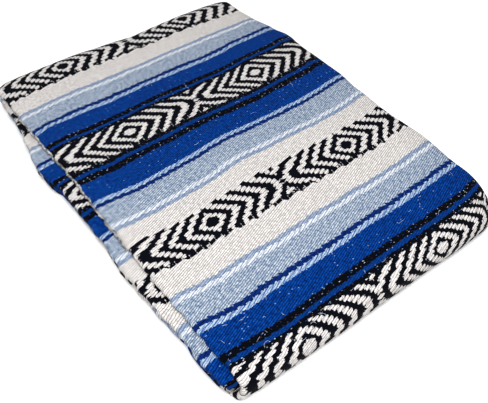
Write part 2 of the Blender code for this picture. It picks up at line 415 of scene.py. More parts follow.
# A station of the folded path: its edge on the left ("top" or "low"), the share of the way to the
# right nose, the level of its centre of turning, the turn's radius and angle, and its layer.
Station = namedtuple("Station", "edge share level radius angle layer")


def straight(edge, level, start, end, steps, facing, layer):
    """Stations of a flat layer, without its first one."""
    return [
        Station(edge, start + (end - start) * i / steps, level, 0.0, facing, layer)
        for i in range(1, steps + 1)
    ]


def turn(edge, share, level, radius, start, end, steps, layer):
    """Stations round a nose, without its first one. Angle 90 is up, 0 is to the right."""
    return [
        Station(edge, share, level, radius, start + (end - start) * i / steps, layer)
        for i in range(1, steps + 1)
    ]


def folded_path():
    """The cloth's section, from one tucked end to the other."""
    path = [Station("low", TUCK_END, LEVEL_TUCK_INNER, 0.0, 90, "tuck_inner")]
    path += straight("low", LEVEL_TUCK_INNER, TUCK_END, 0.0, TUCK_STEPS, 90, "tuck_inner")
    path += turn("low", 0.0, 1.0, SMALL_NOSE, 90, 270, SMALL_NOSE_STEPS, "low_nose")
    path += straight("low", LEVEL_INNER, 0.0, 1.0, INNER_STEPS, 270, "inner")
    path += turn("low", 1.0, 2.0, BIG_NOSE, 270, 450, BIG_NOSE_STEPS, "big_nose")
    path += straight("top", LEVEL_OUTER, 1.0, 0.0, OUTER_STEPS, 90, "outer")
    path += turn("top", 0.0, 3.0, SMALL_NOSE, 90, 270, SMALL_NOSE_STEPS, "top_nose")
    path += straight("top", LEVEL_TUCK_OUTER, 0.0, TUCK_END, TUCK_STEPS, 270, "tuck_outer")
    return path


# A row of the bundle: where it is from back to front, on the top half, the roll or the bottom half.
Row = namedtuple("Row", "part from_back share angle")


def rows():
    """The rows, from the top half's back edge over the roll to the bottom half's."""
    out = [Row("top", back, 0.0, 0) for back in BACK_STEPS]
    out += [Row("top", None, (i + 1) / TOP_STEPS, 0) for i in range(TOP_STEPS)]
    out += [Row("roll", None, 1.0, 180 * (i + 1) / ROLL_STEPS) for i in range(ROLL_STEPS)]
    out += [Row("bottom", None, 1 - (i + 1) / BOTTOM_STEPS, 180) for i in range(BOTTOM_STEPS)]
    out += [Row("bottom", back, 0.0, 180) for back in reversed(BACK_STEPS[:-1])]
    return out


def left_edge(edge, y, below):
    """Where a side nose's outside is, at one place along the side; below runs from 0 to 1."""
    low = along_table(LEFT_LOW_EDGE, y)
    if edge == "top":
        high = along_table(LEFT_TOP_EDGE, y)
        return high + (low + BOTTOM_NOSE_INSET - high) * below
    return low + LOWER_NOSE_INSET * below


def flat_row(row, front, end):
    """The y of a row of the flat halves, between the roll and the back edge."""
    if row.from_back is not None:
        return end - row.from_back
    back = end - BACK_STEPS[-1]
    return back + (front - back) * row.share


def row_reference(row):
    """The y of a row, before the layers' own insets, and how far below the middle plane it is."""
    front = -HALF_LENGTH + HEIGHT / 2
    if row.part == "roll":
        below = (1 - math.cos(math.radians(row.angle))) / 2
        return front - HEIGHT / 2 * math.sin(math.radians(row.angle)), below
    return flat_row(row, front, HALF_LENGTH), 0.0 if row.part == "top" else 1.0


def section_point(station, row, half):
    """A point of the section: its x, and its level, with half the cloth added outwards."""
    y, below = row_reference(row)
    left = left_edge(station.edge, y, below) + SMALL_NOSE + HALF_CLOTH
    right = along_table(RIGHT_EDGE, y) - BIG_NOSE - HALF_CLOTH
    x = left + (right - left) * station.share
    angle = math.radians(station.angle)
    reach = station.radius + half
    return x + reach * math.cos(angle), station.level + reach * math.sin(angle) / PITCH


def bent_point(x, level, row):
    """The section's point on its row, bent over the front roll."""
    front = along_table(FRONT_EDGE, x) + HEIGHT / 2
    if row.part == "roll":
        angle = math.radians(row.angle)
        return (x, front - level * PITCH * math.sin(angle), HEIGHT / 2 + level * PITCH * math.cos(angle))
    end = along_table(BACK_EDGE, x) - selvedge_inset(level, row.part == "top")
    sign = 1 if row.part == "top" else -1
    return (x, flat_row(row, front, end), HEIGHT / 2 + sign * level * PITCH)


def sink(distance, limits):
    """How far the top sinks at a distance from an edge."""
    left = max(0.0, 1 - max(distance, 0.0) / limits.reach)
    return limits.depth * left * left


def crease_height(x, y):
    """How high the soft ridges and troughs stand at a place."""
    total = 0.0
    for crease in CREASES:
        run_x, run_y = crease.x1 - crease.x0, crease.y1 - crease.y0
        t = ((x - crease.x0) * run_x + (y - crease.y0) * run_y) / (run_x ** 2 + run_y ** 2)
        t = min(max(t, 0.0), 1.0)
        away = math.hypot(x - crease.x0 - t * run_x, y - crease.y0 - t * run_y) / crease.reach
        if away < 1:
            total += crease.height * math.cos(away * math.pi / 2) ** 2
    return total


def edge_bump(from_left, y, share):
    """How far the left noses stand out at a place."""
    near = 1 - min(max(from_left / EDGE_REACH, 0.0), 1.0)
    shift = EDGE_TURN * share
    bumps = (w.height * math.sin(2 * math.pi * y / w.length + w.phase + shift) for w in EDGE_WAVES)
    return near * near * sum(bumps)


def settled(x, y, z):
    """Lets the top sink towards its edges and swell a little; the bottom stays flat."""
    from_left = x - along_table(LEFT_TOP_EDGE, y)
    x -= edge_bump(from_left, y, z / HEIGHT)
    fuller = max(0.0, min(1.0, 1 - from_left / FULLER_REACH))
    fuller = fuller * fuller * (3 - 2 * fuller)
    share = z / HEIGHT
    z = HEIGHT * (share + (between(NOSE_HEIGHTS, share) - share) * fuller)
    drop = sink(along_table(BACK_EDGE, x) - y, BACK_SINK)
    drop += sink(from_left, LEFT_SINK)
    from_right = along_table(RIGHT_EDGE, y) - x
    drop += sink(from_right, RIGHT_SINK)
    from_front = y - along_table(FRONT_EDGE, x)
    drop += sink(math.hypot(max(from_right, 0.0), max(from_front, 0.0)), FRONT_RIGHT_SINK)
    swell = sum(
        w.height * math.sin(2 * math.pi * (x / w.along + y / w.across) + w.phase) for w in WAVES
    ) + crease_height(x, y)
    return x, y, z * (1 - (drop - swell + TOP_ROOM) / HEIGHT)


def rounded(x, y):
    """Rounds the corners in plan, as a square is drawn in to a disc."""
    for corner in CORNERS:
        a = (x * corner.x - (HALF_WIDTH - corner.radius)) / corner.radius
        b = (y * corner.y - (HALF_LENGTH - corner.radius)) / corner.radius
        if a > 0 and b > 0:
            a, b = min(a, CORNER_LIMIT), min(b, CORNER_LIMIT)
            shrunk_a = a * math.sqrt(1 - b * b / 2)
            shrunk_b = b * math.sqrt(1 - a * a / 2)
            x += corner.x * corner.radius * (shrunk_a - a)
            y += corner.y * corner.radius * (shrunk_b - b)
    return x, y


def placed(x, y, z):
    """A point of the fold form at its place in the row frame."""
    x, y, z = settled(x, y, z)
    x, y = rounded(x, y)
    return (x - FORM_SHIFT[0], y - FORM_SHIFT[1], z - FORM_SHIFT[2])


def path_length(stations, row):
    """The length along the stripes at each station, which equals x on the top layer."""
    flat = [section_point(s, row, 0.0) for s in stations]
    lengths = [0.0]
    for (x0, level0), (x1, level1) in zip(flat, flat[1:]):
        lengths.append(lengths[-1] + math.hypot(x1 - x0, (level1 - level0) * PITCH))
    anchor = next(i for i, s in enumerate(stations) if s.layer == "outer" and s.share <= 0.5)
    return [flat[anchor][0] - (n - lengths[anchor]) for n in lengths]


def across_length(x, y, row):
    """The length across the stripes, which equals y on the top half and goes on round the roll."""
    front = along_table(FRONT_EDGE, x) + HEIGHT / 2
    radius = LEVEL_OUTER * PITCH
    if row.part == "top":
        return y
    if row.part == "roll":
        return front - radius * math.radians(row.angle)
    return front - radius * math.pi - (y - front)


def lower_shift(station, row):
    """How far forward the stripes of the lower noses lie: all of it at the left, none at the right."""
    y, below = row_reference(row)
    shift = along_table(LOWER_SHIFT, y) * (1 - station.share)
    return shift * below if station.layer in ("outer", "top_nose", "tuck_outer") else shift


def drifted(along, across):
    """The pattern's place across the cloth, once the lines' wandering is taken off; in millimetres."""
    at = min(max(along, DRIFT_AT[0]), DRIFT_AT[-1])
    real = min(max(across, DRIFTS[0].real), DRIFTS[-1].real)
    for low, high in zip(DRIFTS, DRIFTS[1:]):
        if real <= high.real:
            break
    t = (real - low.real) / (high.real - low.real)
    t = t * t * (3 - 2 * t)
    from_low = between(list(zip(DRIFT_AT, low.offsets)), at)
    from_high = between(list(zip(DRIFT_AT, high.offsets)), at)
    return across - (from_low + (from_high - from_low) * t)


def cloth_places(stations, places):
    """For each station and row: the weave's place and the pattern's place on the cloth, in metres."""
    real_to_even = [(line.real, line.even) for line in LINES]
    middles = [(c.even, c.along) for c in CROSSINGS]
    pitches = [(c.even, c.pitch) for c in CROSSINGS]
    weave = [[None] * len(places) for _ in stations]
    pattern = [[None] * len(places) for _ in stations]
    for j, row in enumerate(places):
        along = path_length(stations, row)
        for i, station in enumerate(stations):
            x, level = section_point(station, row, 0.0)
            x, y, _ = bent_point(x, level, row)
            across = across_length(x, y, row)
            weave[i][j] = (along[i], across)
            lies = (across + lower_shift(station, row)) / MM
            even = between(real_to_even, drifted(along[i] / MM, lies))
            held = min(max(even, CROSSINGS[0].even), CROSSINGS[-1].even)
            stretch = EYE_PITCH / between(pitches, held)
            pattern[i][j] = ((along[i] - between(middles, held) * MM) * stretch, even * MM)
    return weave, pattern


def build_cloth():
    """The closed cloth: an outer and an inner sheet over the same grid, joined round the rim."""
    stations = folded_path()
    places = rows()
    weave, pattern = cloth_places(stations, places)
    mesh = bmesh.new()
    weave_layer = mesh.loops.layers.uv.new("weave")
    pattern_layer = mesh.loops.layers.uv.new("pattern")
    where = {}
    sheets = []
    for half in (HALF_CLOTH, -HALF_CLOTH):
        sheet = {}
        for i, station in enumerate(stations):
            for j, row in enumerate(places):
                x, level = section_point(station, row, half)
                sheet[i, j] = mesh.verts.new(placed(*bent_point(x, level, row)))
                where[sheet[i, j]] = (i, j)
        sheets.append(sheet)
    outer, inner = sheets
    last_u = len(stations) - 1
    last_v = len(places) - 1
    for i in range(last_u):
        for j in range(last_v):
            corners = ((i, j), (i, j + 1), (i + 1, j + 1), (i + 1, j))
            mesh.faces.new([outer[corner] for corner in corners])
            mesh.faces.new([inner[corner] for corner in reversed(corners)])
    rim = [(i, 0) for i in range(last_u)] + [(last_u, j) for j in range(last_v)]
    rim += [(i, last_v) for i in range(last_u, 0, -1)] + [(0, j) for j in range(last_v, 0, -1)]
    for a, b in zip(rim, rim[1:] + rim[:1]):
        mesh.faces.new((outer[a], outer[b], inner[b], inner[a]))
    for face in mesh.faces:
        for loop in face.loops:
            i, j = where[loop.vert]
            loop[weave_layer].uv = weave[i][j]
            loop[pattern_layer].uv = pattern[i][j]
    return mesh


def on_outside(x, across, lift):
    """A point above the cloth's outside, on the top or round the front roll."""
    front = along_table(FRONT_EDGE, x) + HEIGHT / 2
    reach = LEVEL_OUTER * PITCH + HALF_CLOTH + lift
    if across >= front:
        return Vector(placed(x, across, HEIGHT / 2 + reach))
    angle = (front - across) / (LEVEL_OUTER * PITCH)
    return Vector(placed(x, front - reach * math.sin(angle), HEIGHT / 2 + reach * math.cos(angle)))


def add_tube(mesh, points, radius, sides, widths=None):
    """A closed tube along the points, thinner at its ends; widths are shares of the radius."""
    rings = []
    last = len(points) - 1
    for i, point in enumerate(points):
        ahead = (points[min(i + 1, last)] - points[max(i - 1, 0)]).normalized()
        side = ahead.cross(Vector((0.0, 0.0, 1.0)))
        side = side.normalized() if side.length > 0.1 else Vector((1.0, 0.0, 0.0))
        up = side.cross(ahead)
        r = radius * (TUBE_END if i in (0, last) else 1.0) * (widths[i] if widths else 1.0)
        turns = [2 * math.pi * k / sides for k in range(sides)]
        rings.append([mesh.verts.new(point + (side * math.cos(a) + up * math.sin(a)) * r) for a in turns])
    for low, high in zip(rings, rings[1:]):
        for k in range(sides):
            mesh.faces.new((low[k], low[k - 1], high[k - 1], high[k]))
    mesh.faces.new(rings[0])
    mesh.faces.new(reversed(rings[-1]))


def finished(mesh, name, material):
    """The joined mesh as an object in the row frame, its faces outward and smooth."""
    bmesh.ops.recalc_face_normals(mesh, faces=mesh.faces)
    if mesh.calc_volume(signed=True) < 0:
        bmesh.ops.reverse_faces(mesh, faces=mesh.faces)
    for face in mesh.faces:
        face.smooth = True
    data = bpy.data.meshes.new(name)
    mesh.to_mesh(data)
    mesh.free()
    data.materials.append(material)
    piece = bpy.data.objects.new(name, data)
    bpy.context.scene.collection.objects.link(piece)
    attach(piece, "root")
    return piece


def build_edge_cord(looks):
    """Two strands twisted along the top nose, from near the back to past the middle of the side."""
    mesh = bmesh.new()
    steps = looks.cord_steps
    for strand in range(2):
        points = []
        for i in range(steps + 1):
            t = i / steps
            dive = max(0.0, 1 - t / DIVE_START) + max(0.0, 1 - (1 - t) / DIVE_END)
            angle = CORD_ANGLE + CORD_DIVE * dive
            angle += sum(w.height * math.sin(w.turns * t + w.phase) for w in CORD_WAVES)
            row = Row("top", None, CORD_START + (CORD_END - CORD_START) * t, 0)
            station = Station("top", 0.0, 3.0, SMALL_NOSE, angle, "top_nose")
            x, level = section_point(station, row, HALF_CLOTH + looks.strand_radius * 0.6)
            x, y, z = placed(*bent_point(x, level, row))
            # The strands lie closer and further apart along the cord, and grow thicker and thinner.
            phase = 2 * math.pi * y / looks.strand_turn + math.pi * strand
            reach = looks.strand_radius * (0.75 + 0.25 * math.sin(71 * t + 2 * strand))
            points.append(Vector((x + reach * math.cos(phase), y, z + reach * math.sin(phase))))
        widths = [1 + 0.22 * math.sin(0.37 * i + 2 * strand) * math.sin(0.11 * i) for i in range(steps + 1)]
        add_tube(mesh, points, looks.strand_radius, 6, widths)
    return mesh


def build_fibres(looks):
    """Short loose fibres, thick round the front eyes and thin over the rest of the top."""
    draw = random.Random(11)
    mesh = bmesh.new()
    for patch in FIBRE_PATCHES:
        for _ in range(patch.count):
            x = draw.uniform(patch.left, patch.right)
            y = draw.uniform(patch.front, patch.back)
            way = draw.uniform(0, 2 * math.pi)
            bend = draw.uniform(-2.5, 2.5)
            step = looks.fibre_length * draw.uniform(0.4, 1.3) / FIBRE_STEPS
            lift = looks.fibre_lift * draw.uniform(0.3, 1.0)
            points = []
            for i in range(FIBRE_STEPS + 1):
                t = i / FIBRE_STEPS
                x += step * math.cos(way + bend * t)
                y += step * math.sin(way + bend * t)
                points.append(on_outside(x, y, lift * math.sin(math.pi * t) + looks.fibre_radius * 0.5))
            add_tube(mesh, points, looks.fibre_radius, 3)
    return mesh


def add(tree, kind, inputs=(), out=0, **settings):
    """Adds a node, fills its inputs by order or name, and gives back an output.

    The kind is the node's own name, with its operation after a space where it has one. A MapRange takes
    the value, the two ends it comes from and the two it goes to.
    """
    kind, _, operation = kind.partition(" ")
    node = tree.nodes.new("ShaderNode" + kind)
    if operation:
        node.operation = operation
    for name, value in settings.items():
        setattr(node, name, value)
    for key, value in inputs.items() if isinstance(inputs, dict) else enumerate(inputs):
        if isinstance(value, bpy.types.NodeSocket):
            tree.links.new(value, node.inputs[key])
        else:
            node.inputs[key].default_value = value
    return node.outputs[out]


def new_material(name):
    """An empty material, and its node tree."""
    material = bpy.data.materials.new(name)
    material.use_nodes = True
    material.node_tree.nodes.clear()
    return material, material.node_tree


def give_surface(t, inputs):
    """Ends a material with its surface."""
    surface = add(t, "BsdfPrincipled", inputs)
    output = t.nodes.new("ShaderNodeOutputMaterial")
    t.links.new(surface, output.inputs["Surface"])


def plain_yarn(name, colour, shade):
    """Spun yarn of one colour: matt, a little uneven in tone."""
    material, t = new_material(name)
    place = add(t, "TexCoord", out=3)
    tone = add(t, "TexNoise", {"Vector": place, "Scale": YARN_PATCHES, "Detail": 2.0})
    tone = add(t, "MapRange", (tone, 0.35, 0.65))
    colour = add(t, "Mix", {0: tone, 6: linear(colour), 7: linear(shade)}, out=2, data_type="RGBA")
    give_surface(t, {"Base Color": colour, "Roughness": MATT, "Specular IOR Level": 0.05})
    return material


def uneven(t, place, scale, detail, reach):
    """A smooth random value from -reach to reach; the scale is for each millimetre of the place."""
    noise = add(t, "TexNoise", {"Vector": place, "Scale": scale, "Detail": detail}, noise_dimensions="2D")
    return add(t, "MapRange", (noise, 0.25, 0.75, -reach, reach))


def zigzag(t, value, length):
    """Rises from 0 to 1 and falls back, once in each length."""
    turns = add(t, "Math MULTIPLY", (value, 2 / length))
    return add(t, "Math PINGPONG", (turns, 1.0))


def past_half(t, turns):
    """How far a count of turns is past the middle of its last one, from -0.5 to 0.5."""
    return add(t, "Math SUBTRACT", (add(t, "Math FRACT", (turns,)), 0.5))


def past_middle(t, value, length, start):
    """How far a value is past the middle of its repeat; start is the repeats' shift, as a share."""
    turns = add(t, "Math MULTIPLY_ADD", (value, 1 / length, start))
    return add(t, "Math MULTIPLY", (past_half(t, turns), length))


def fill_ramp(output, stops, interpolation="CONSTANT"):
    """Gives a colour ramp its stops, and gives back its output."""
    ramp = output.node.color_ramp
    ramp.interpolation = interpolation
    while len(ramp.elements) > 1:
        ramp.elements.remove(ramp.elements[-1])
    for i, (at, colour) in enumerate(stops):
        element = ramp.elements[0] if i == 0 else ramp.elements.new(at)
        element.position = at
        element.color = colour
    return output


def by_stripe(t, share, column, interpolation="CONSTANT"):
    """One column of the stripe table, colours or tuples of shares, at a share of the half repeat."""
    total = sum(s.width for s in STRIPES)
    stops = []
    at = 0.0
    for stripe in STRIPES:
        value = column(stripe)
        stops.append((at / total, linear(value) if isinstance(value, str) else (*value, 1.0)))
        at += stripe.width
    return fill_ramp(add(t, "ValToRGB", (share,)), stops, interpolation)


def find_places(t, looks, cloth):
    """Places in millimetres: the weave's, and the pattern's along the stripes and across them."""
    cloth.weave = add(t, "VectorMath MULTIPLY", (add(t, "UVMap", uv_map="weave"), (1 / MM,) * 3))
    pattern = add(t, "VectorMath MULTIPLY", (add(t, "UVMap", uv_map="pattern"), (1 / MM,) * 3))
    cloth.along = add(t, "SeparateXYZ", (pattern,), out=0)
    cloth.across = add(t, "SeparateXYZ", (pattern,), out=1)
    # The lines wander a little, and their edges are rough by less than a millimetre.
    cloth.wander = uneven(t, cloth.weave, 0.045, 1.0, looks.line_wander / MM)
    cloth.wandering = add(t, "Math ADD", (cloth.across, cloth.wander))
    cloth.place = add(t, "Math ADD", (cloth.wandering, uneven(t, cloth.weave, 0.3, 2.0, LINE_ROUGHNESS)))


def find_stripes(t, looks, cloth):
    """The stripe at each place: its yarns, and its shares of ribs, flecks and twist."""
    share = zigzag(t, cloth.place, 2 * HALF_REPEAT)
    shares = by_stripe(t, share, lambda s: (s.ribs, s.flecks, s.twist))
    cloth.ribs, cloth.flecks, cloth.twist = (add(t, "SeparateColor", (shares,), out=i) for i in range(3))
    cloth.on_black = add(t, "Math GREATER_THAN", (share, 0.5))

    # Yarn ends give the lines' edges slanting steps, deeper beside a twisted cord.
    shift = add(t, "Math MULTIPLY", (cloth.wander, 0.35))
    cloth.turns = add(t, "Math MULTIPLY_ADD", (cloth.along, MM / looks.cord_turn, shift))
    near_cord = by_stripe(t, share, lambda s: (s.twist,) * 3, "LINEAR")
    near_cord = add(t, "SeparateColor", (near_cord,))
    depth = add(t, "MapRange", (near_cord, 0.0, 1.0, STEP_DEPTH, CORD_STEP_DEPTH))
    cloth.stepped = add(t, "Math MULTIPLY_ADD", (past_half(t, cloth.turns), depth, cloth.place))
    share = zigzag(t, cloth.stepped, 2 * HALF_REPEAT)
    cloth.yarn = by_stripe(t, share, lambda s: s.yarn)
    cloth.second = by_stripe(t, share, lambda s: s.second)
    # The gap colour is a darker copy of each stripe's yarn: painted shade for the hollows between ribs,
    # dashes, columns and cord strands.
    cloth.gap = by_stripe(t, share, lambda s: s.gap)


def find_rows(t, looks, cloth):
    """The rows of floats, from which the diamonds' edges get their steps."""
    leaned = add(t, "Math MULTIPLY", (cloth.along, math.tan(math.radians(looks.row_slant))))
    upright = add(t, "Math SUBTRACT", (cloth.wandering, leaned))
    on_top = add(t, "Math GREATER_THAN", (cloth.across, -HALF_REPEAT / 2))
    cloth.fine = add(t, "Math MULTIPLY", (cloth.on_black, on_top))
    pitch = add(t, "MapRange", (cloth.fine, 0.0, 1.0, looks.row_pitch / MM, looks.fine_row_pitch / MM))
    row = add(t, "Math DIVIDE", (upright, pitch))
    middle = add(t, "Math ADD", (add(t, "Math FLOOR", (row,)), 0.5))
    middle = add(t, "Math MULTIPLY_ADD", (middle, pitch, leaned))
    to_middle = add(t, "Math SUBTRACT", (middle, cloth.wandering))
    cloth.in_rows = add(t, "Math MULTIPLY_ADD", (to_middle, looks.row_step, cloth.wandering))
    # From 0 in the middle of a row to 1 at its edges.
    to_edge = add(t, "Math ABSOLUTE", (past_half(t, row),))
    cloth.to_edge = add(t, "Math MULTIPLY", (to_edge, 2.0))


def find_eyes(t, cloth):
    """How far a place is from the nearest eye: to the right and above with a sign, and either way."""
    cloth.right_of_eye = past_middle(t, cloth.along, EYE_PITCH, 0.0)
    cloth.above_eye = past_middle(t, cloth.in_rows, HALF_REPEAT, 0.5)
    cloth.beside_eye = add(t, "Math ABSOLUTE", (cloth.right_of_eye,))
    cloth.off_middle = add(t, "Math ABSOLUTE", (cloth.above_eye,))


def find_rings(t, looks, cloth):
    """The diamonds' rings: how many millimetres inside the eye's colour a place is."""
    # The distance from the eye is the way along it plus a share of the way across, less to the right.
    sideways = add(t, "Math MULTIPLY", (cloth.right_of_eye, 2 * math.pi / EYE_PITCH))
    sideways = add(t, "Math SINE", (sideways,))
    slope = add(t, "Math MULTIPLY_ADD", (sideways, -ARM_LEAN, ARM_SLOPE))
    arm = add(t, "Math MULTIPLY_ADD", (cloth.off_middle, slope, cloth.beside_eye))
    # Where the arms of two eyes meet, they bend away from the middle.
    crossing = EYE_PITCH / 2
    near_crossing = (cloth.beside_eye, crossing - BEND_START, crossing - BEND_END)
    near_crossing = add(t, "MapRange", near_crossing, interpolation_type="SMOOTHSTEP")
    bend = add(t, "MapRange", (cloth.off_middle, 0.0, BEND_REACH, 0.0, -BEND_OUT))
    distance = add(t, "Math MULTIPLY_ADD", (near_crossing, bend, arm))
    grain = uneven(t, cloth.weave, 0.35, 1.0, RING_ROUGHNESS)
    cloth.distance = add(t, "Math ADD", (distance, grain))
    ring = looks.ring_width / MM
    past_eye = add(t, "Math SUBTRACT", (cloth.distance, looks.eye_half_width / MM + ring / 2))
    swing = zigzag(t, past_eye, 2 * ring)
    inside = add(t, "MapRange", (swing, 0.0, 1.0, -ring / 2, ring / 2))

    # At the band's edge white arms thin out, and black arms run into dashes along the lower edge.
    off_edge = add(t, "Math MULTIPLY_ADD", (cloth.on_black, -BLACK_EDGE_SHIFT, cloth.off_middle))
    at_edge = add(t, "MapRange", (off_edge, EDGE_START, EDGE_END))
    dashes = add(t, "Math MULTIPLY_ADD", (zigzag(t, cloth.along, DASH_PITCH), DASH_SWING, DASH_LOW))
    lower_half = add(t, "Math LESS_THAN", (cloth.above_eye, -1.0))
    dashes = add(t, "Math MULTIPLY", (lower_half, dashes))
    change = add(t, "Mix", {0: cloth.on_black, 2: dashes, 3: -ARM_THINNING})
    inside = add(t, "Math MULTIPLY_ADD", (at_edge, change, inside))

    # The eye is a whole oval, and a spot with a ring round it marks the place where the arms meet.
    off_line = add(t, "Math PINGPONG", (cloth.wandering, HALF_REPEAT / 2))
    oval = add(t, "CombineXYZ", (cloth.beside_eye, off_line))
    oval = add(t, "VectorMath MULTIPLY", (oval, (1 / EYE_WIDTH, 1 / EYE_HEIGHT, 0.0)))
    oval = add(t, "VectorMath LENGTH", (oval,), out=1)
    ragged = add(t, "Math MULTIPLY_ADD", (grain, 0.8, EYE_HEIGHT))
    oval = add(t, "Math MULTIPLY_ADD", (oval, -EYE_HEIGHT, ragged))
    to_crossing = add(t, "Math SUBTRACT", (crossing, cloth.beside_eye))
    from_spot = add(t, "Math MULTIPLY_ADD", (to_crossing, SPOT_STRETCH, off_line))
    inside = add(t, "Math MINIMUM", (inside, add(t, "Math SUBTRACT", (from_spot, SPOT_RING))))
    inside = add(t, "Math MAXIMUM", (inside, add(t, "Math SUBTRACT", (SPOT, from_spot))))
    cloth.inside = add(t, "Math MAXIMUM", (inside, oval))


def dark_floats(t, cloth):
    """How dark the floats of the diamond bands are: 1 is black yarn, and 0 is the stripe's own."""
    # Floats taper to points at the rows' edges, less so at the eye. On black the pale floats are a
    # little fuller, but thinner in the fine rows.
    taper = add(t, "Math POWER", (cloth.to_edge, 2.0))
    depth = add(t, "MapRange", (cloth.distance, TAPER_START, TAPER_END, EYE_TAPER, FAR_TAPER))
    lean = add(t, "Math MULTIPLY", (cloth.on_black, BLACK_TAPER))
    lean = add(t, "Mix", {0: cloth.fine, 2: lean, 3: FINE_TAPER})
    taper = add(t, "Math MULTIPLY_ADD", (taper, depth, lean))
    side = add(t, "MapRange", (cloth.on_black, 0.0, 1.0, -1.0, 1.0))
    white = add(t, "Math MULTIPLY", (cloth.inside, side))
    white = add(t, "Math SUBTRACT", (white, taper))
    white = add(t, "MapRange", (white, -0.3, 0.3))

    # A thin dark line parts the floats of the arms that fall to the right, where they lie apart.
    falling = add(t, "Math MULTIPLY", (cloth.right_of_eye, cloth.above_eye))
    falling = add(t, "MapRange", (falling, -60.0, 60.0))
    parting = add(t, "MapRange", (cloth.to_edge, *PARTING), interpolation_type="SMOOTHSTEP")
    parting = add(t, "Math MULTIPLY", (parting, falling))
    kept = add(t, "Math MULTIPLY_ADD", (parting, -PARTING_DARK, 1.0))
    white = add(t, "Math MULTIPLY", (white, kept))
    dark = add(t, "Math SUBTRACT", (1.0, white))

    # Short ticks of the pale binding thread cross the rows' edges near the band's lower edge.
    tick = add(t, "Math MULTIPLY_ADD", (cloth.along, 1 / TICK_PITCH, TICK_WIDTH / 2))
    tick = add(t, "Math LESS_THAN", (add(t, "Math FRACT", (tick,)), TICK_WIDTH))
    tick = add(t, "Math MULTIPLY", (tick, add(t, "Math GREATER_THAN", (cloth.to_edge, TICK_REACH))))
    tick = add(t, "Math MULTIPLY", (tick, add(t, "Math LESS_THAN", (cloth.above_eye, -TICK_START))))
    dark = add(t, "Math MULTIPLY", (dark, add(t, "Math MULTIPLY_ADD", (tick, -TICK_PALE, 1.0))))

    # The bands on white end in whole floats, and those on black at a line.
    band = add(t, "Math PINGPONG", (cloth.stepped, HALF_REPEAT / 2))
    band = add(t, "Mix", {0: cloth.on_black, 2: cloth.off_middle, 3: band})
    half = add(t, "Mix", {0: cloth.on_black, 2: WHITE_BAND_HALF, 3: BLACK_BAND_HALF})
    return add(t, "Math MULTIPLY", (dark, add(t, "Math LESS_THAN", (band, half))))


def rib_tones(t, looks, cloth):
    """The share of the second yarn, and the painted shade in the hollows between slanting ribs of short
    yarn dashes.
    """
    slant = math.radians(-looks.rib_slant)
    turned = add(t, "Mapping", {"Vector": cloth.weave, "Rotation": (0.0, 0.0, slant)})
    shaken = add(t, "TexNoise", {"Vector": cloth.weave, "Scale": 0.12, "Detail": 1.0}, out=1,
                 noise_dimensions="2D")
    shaken = add(t, "VectorMath MULTIPLY_ADD", (shaken, RIB_WAVER, [-w / 2 for w in RIB_WAVER]))
    turned = add(t, "VectorMath ADD", (turned, shaken))
    dashes = {"Vector": turned, "Scale": 1.0, "Mortar Size": DASH_GAP, "Mortar Smooth": 1.0,
              "Brick Width": looks.dash_length / MM, "Row Height": looks.rib_pitch / MM,
              "Color1": (0, 0, 0, 1), "Color2": (1, 1, 1, 1), "Mortar": (0.5, 0.5, 0.5, 1)}
    tone, dash_gap = (add(t, "TexBrick", dashes, out=i, squash=1.5, squash_frequency=3) for i in range(2))
    tone = add(t, "SeparateColor", (tone,))
    mottle = add(t, "TexNoise", {"Vector": cloth.weave, "Scale": 0.24, "Detail": 4.0, "Roughness": 0.7},
                 noise_dimensions="2D")
    mottle = add(t, "MapRange", (mottle, 0.36, 0.64))
    mixed = add(t, "Mix", {0: PATCHY_SHARE, 2: tone, 3: mottle})
    # Fine upright columns of painted shade show where the ribs cross the hidden threads.
    column = zigzag(t, add(t, "SeparateXYZ", (turned,), out=0), looks.column_pitch / MM)
    column = add(t, "MapRange", (column, COLUMN_HOLLOW, 0.0, 0.0, COLUMN_PAINTED_SHADE))
    rib = zigzag(t, add(t, "SeparateXYZ", (turned,), out=1), looks.rib_pitch / MM)
    # Painted shade: the hollows beside each rib, the gaps between dashes and the columns darken towards the
    # gap colour.
    shade = add(t, "MapRange", (rib, 0.0, RIB_HOLLOW, 1.0, 0.0))
    shade = add(t, "Math MAXIMUM", (shade, add(t, "Math MULTIPLY", (dash_gap, DASH_GAP_PAINTED_SHADE))))
    shade = add(t, "Math MAXIMUM", (shade, column))
    return mixed, add(t, "Math MULTIPLY", (shade, cloth.ribs))


def painted_strand_shade(t, cloth):
    """Painted shade lines between the strands of a twisted cord, each a slanting lick."""
    strand = add(t, "Math MULTIPLY_ADD", (cloth.across, -STRAND_SLANT, cloth.turns))
    strand = add(t, "Math ABSOLUTE", (past_half(t, strand),))
    shade = add(t, "MapRange", (strand, *STRAND_LINE, 0.0, STRAND_PAINTED_SHADE), interpolation_type="SMOOTHSTEP")
    return add(t, "Math MULTIPLY", (shade, cloth.twist))


def specks(t, cloth):
    """Specks of other yarn in the black lines, and rare bright flecks in the blue: share and colour."""
    spread = add(t, "VectorMath MULTIPLY", (cloth.weave, (1 / SPECK_ALONG, 1 / SPECK_ACROSS, 1.0)))
    away, tone = (add(t, "TexVoronoi", {"Vector": spread, "Scale": 1.0}, out=i, voronoi_dimensions="2D")
                  for i in range(2))
    tone = add(t, "SeparateColor", (tone,))
    # In the blue every fleck takes the ramp's last colour.
    in_blue = add(t, "Math LESS_THAN", (cloth.flecks, BLUE_FLECKS))
    colour = add(t, "ValToRGB", (add(t, "Math MAXIMUM", (tone, in_blue)),))
    fill_ramp(colour, [(at, linear(shade)) for at, shade in SPECK_COLOURS])
    share = add(t, "Math LESS_THAN", (away, SPECK_RADIUS))
    share = add(t, "Math MULTIPLY", (share, cloth.flecks))
    chosen = add(t, "Math GREATER_THAN", (tone, add(t, "Math MULTIPLY", (in_blue, RARE_IN_BLUE))))
    share = add(t, "Math MULTIPLY", (share, chosen))
    return add(t, "Math MULTIPLY", (share, SPECK_STRENGTH)), colour


